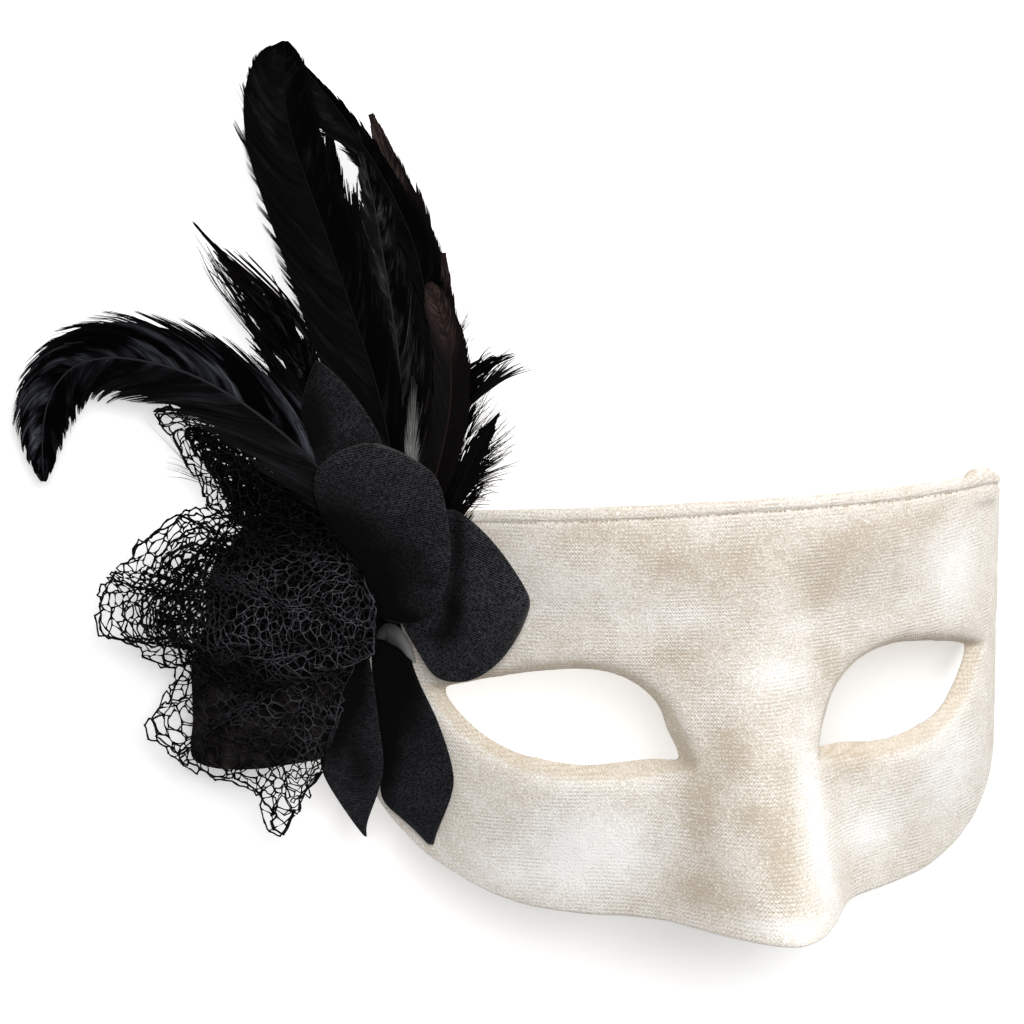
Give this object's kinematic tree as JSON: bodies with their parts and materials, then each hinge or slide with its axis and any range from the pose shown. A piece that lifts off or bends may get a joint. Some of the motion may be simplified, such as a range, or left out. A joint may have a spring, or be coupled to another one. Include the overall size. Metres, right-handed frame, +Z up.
{
  "type": "feather masquerade mask",
  "caption": "Half mask in crushed velvet with open eyes and a moulded nose, with feathers, cloth petals and black netting on one temple.",
  "frame": {"origin": "under the middle of the whole piece, on the surface that it lies on", "axes": "+Z up out of the face, +Y towards the brow, +X to the right of someone looking at the face"},
  "size_m": [0.234, 0.193, 0.091],
  "materials": {
    "velvet": "ivory crushed velvet, short knitted pile with cloudy highlights",
    "petal_cloth": "black stiffened cloth, fine pebbled weave, matt",
    "black_feather": "dyed black feather, satin sheen along the barbs",
    "brown_feather": "dark brown feather, thin and slightly see-through at the tip",
    "netting": "black knotted millinery net",
    "lining": "thin black gauze, pleated"
  },
  "bodies": {
    "root": {"velvet_mask": "velvet", "upper_petal": "petal_cloth", "front_petal": "petal_cloth", "right_petal": "petal_cloth", "lower_right_petal": "petal_cloth", "lower_left_petal": "petal_cloth", "downy_right_feather": "black_feather", "downy_left_feather": "black_feather", "brown_back_feather": "brown_feather", "curled_back_feather": "black_feather", "brown_sliver_feather": "brown_feather", "left_thin_feather": "black_feather", "narrow_feather": "black_feather", "short_right_feather": "black_feather", "arched_feather": "black_feather", "round_feather": "brown_feather", "sheen_feather": "black_feather", "tall_feather": "black_feather", "curled_feather": "black_feather", "net_pouf": "netting", "net_ruffle": "netting", "lining": "lining", "back_net": "netting"}
  },
  "joints": []
}
